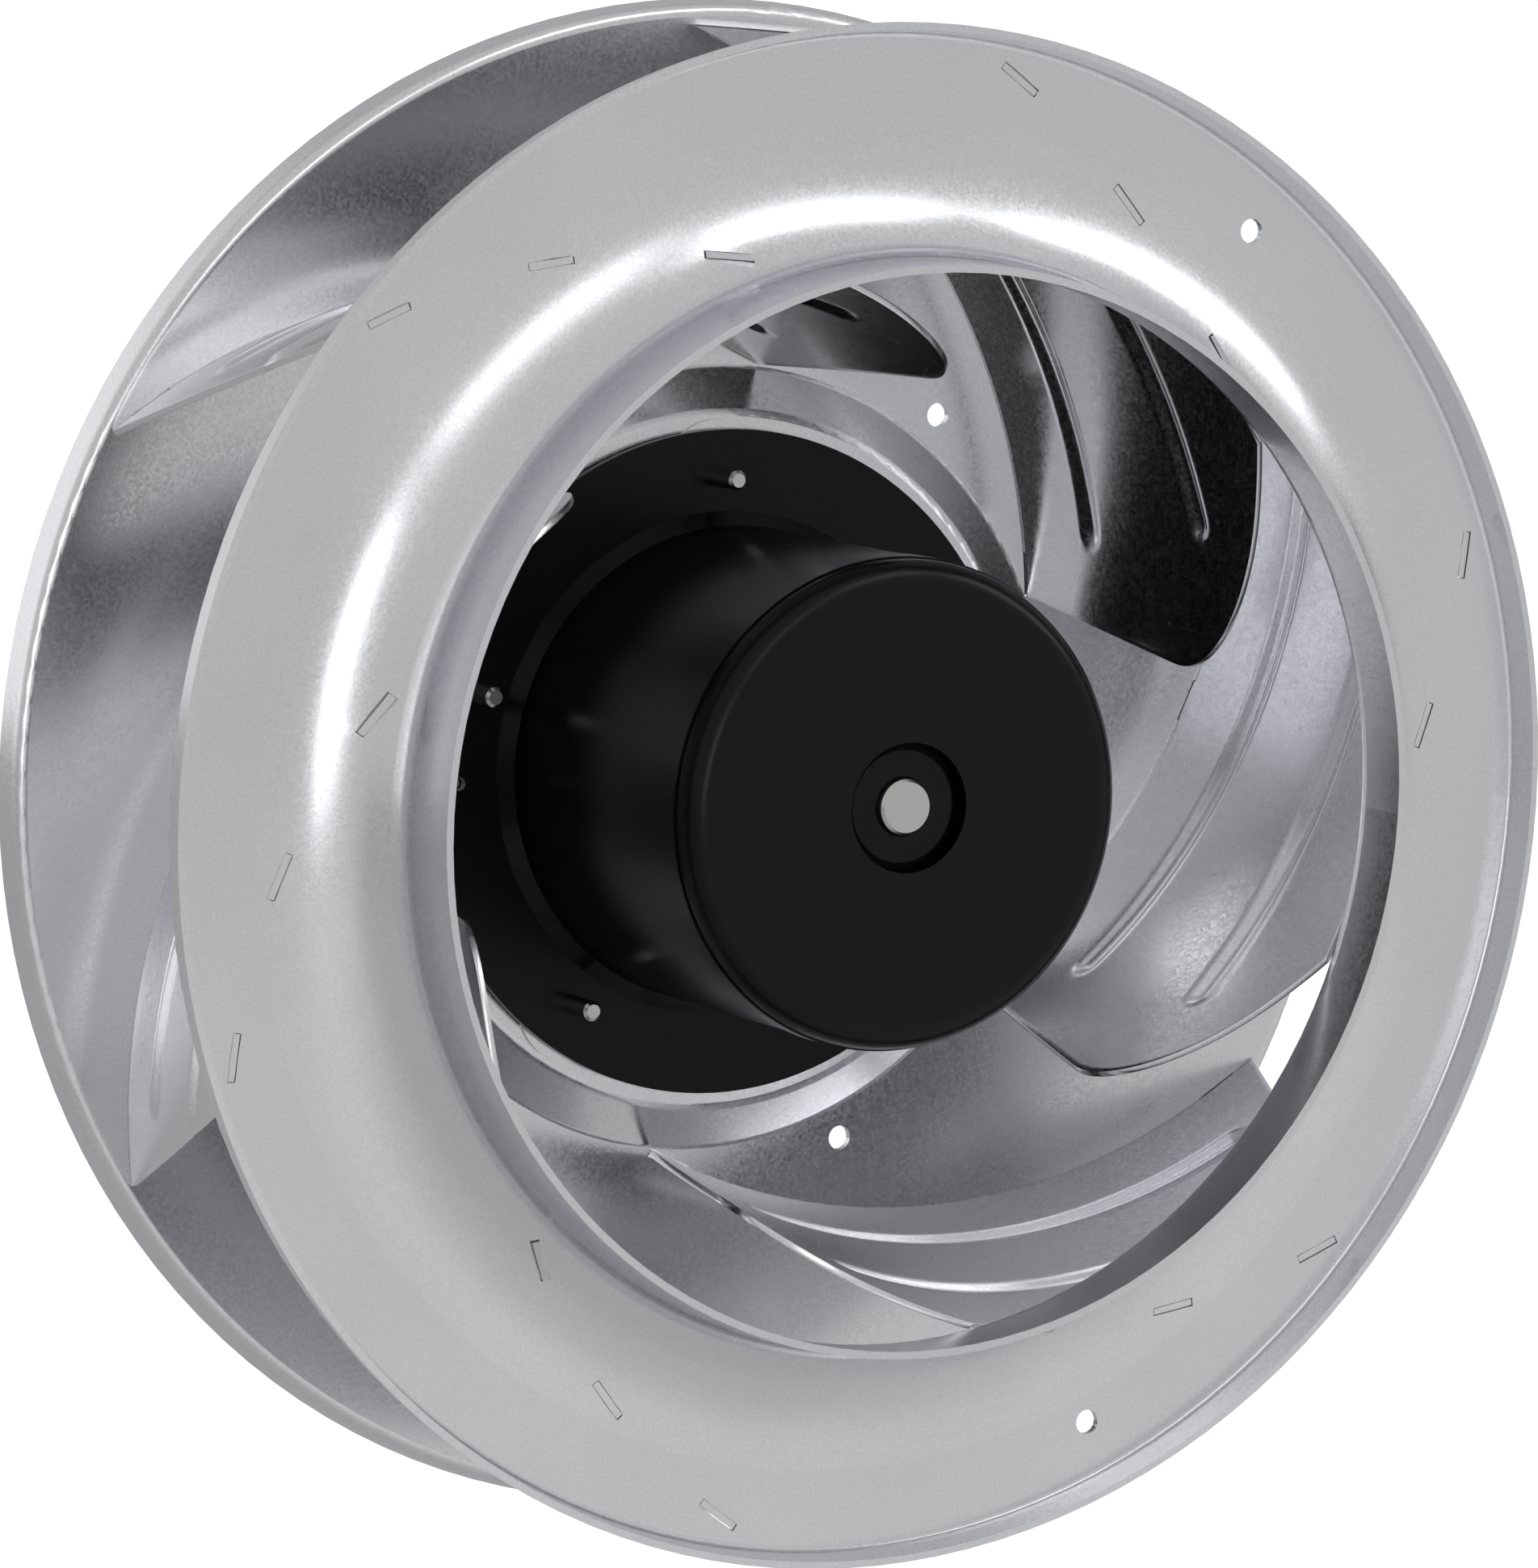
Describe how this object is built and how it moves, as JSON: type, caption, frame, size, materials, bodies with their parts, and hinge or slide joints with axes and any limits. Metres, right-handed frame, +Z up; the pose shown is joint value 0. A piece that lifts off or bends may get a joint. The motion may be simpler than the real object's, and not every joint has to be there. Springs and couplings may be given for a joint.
{
  "type": "centrifugal fan",
  "caption": "Backward-curved centrifugal fan wheel with a bell-shaped inlet, carried by an external-rotor motor with electronics behind it.",
  "frame": {"origin": "centre of the four mounting bosses' faces, on the fan axis", "axes": "-Y out of the inlet along the fan axis, +Y behind the motor, +Z up, +X to the right seen from the inlet"},
  "size_m": [0.4536, 0.2036, 0.4536],
  "materials": {
    "sheet_aluminium": "satin sheet with a fine speckled grain",
    "rotor_black": "satin black coating",
    "bright_steel": "turned",
    "tube_steel": "turned",
    "cage_plastic": "moulded",
    "magnet_grey": "sintered",
    "lamination_steel": "stacked sheet edges",
    "insulator_plastic": "moulded",
    "copper_winding": "enamelled wire",
    "cast_aluminium": "die cast",
    "cover_black": "moulded",
    "board_green": "solder mask",
    "capacitor_can": "drawn can",
    "seal_rubber": "moulded",
    "gland_plastic": "moulded"
  },
  "bodies": {
    "stator": {"stator_housing": "cast_aluminium", "bearing_tube": "tube_steel", "lamination_stack": "lamination_steel", "front_insulator": "insulator_plastic", "rear_insulator": "insulator_plastic", "stator_coils": "copper_winding", "front_bearing_outer_ring": "bright_steel", "rear_bearing_outer_ring": "bright_steel", "preload_spring": "bright_steel", "circuit_board": "board_green", "board_capacitors": "capacitor_can", "board_screws": "bright_steel", "cover_gasket": "seal_rubber", "housing_cover": "cover_black", "cover_screws": "bright_steel", "cable_gland": "gland_plastic", "gland_seal": "seal_rubber", "gland_nut": "gland_plastic"},
    "rotor": {"front_shroud": "sheet_aluminium", "backplate": "sheet_aluminium", "blade_1": "sheet_aluminium", "blade_2": "sheet_aluminium", "blade_3": "sheet_aluminium", "blade_4": "sheet_aluminium", "blade_5": "sheet_aluminium", "blade_6": "sheet_aluminium", "rotor_cup": "rotor_black", "wheel_screws": "bright_steel", "wheel_washers": "bright_steel", "rotor_magnets": "magnet_grey", "shaft": "bright_steel", "shaft_circlip": "bright_steel", "front_bearing_inner_ring": "bright_steel", "rear_bearing_inner_ring": "bright_steel"},
    "front_cage": {"front_bearing_cage": "cage_plastic", "front_bearing_balls": "bright_steel"},
    "rear_cage": {"rear_bearing_cage": "cage_plastic", "rear_bearing_balls": "bright_steel"}
  },
  "joints": [
    {"name": "rotor_spin", "type": "hinge", "parent": "stator", "child": "rotor", "pos_m": [0, 0, 0], "axis": [0, 1, 0], "continuous": true},
    {"name": "front_cage_spin", "type": "hinge", "parent": "stator", "child": "front_cage", "pos_m": [0, -0.1095, 0], "axis": [0, 1, 0], "continuous": true},
    {"name": "rear_cage_spin", "type": "hinge", "parent": "stator", "child": "rear_cage", "pos_m": [0, -0.0415, 0], "axis": [0, 1, 0], "continuous": true}
  ],
  "couplings": [
    {"joint": "front_cage_spin", "follows": "rotor_spin", "ratio": 0.38},
    {"joint": "rear_cage_spin", "follows": "rotor_spin", "ratio": 0.38}
  ]
}
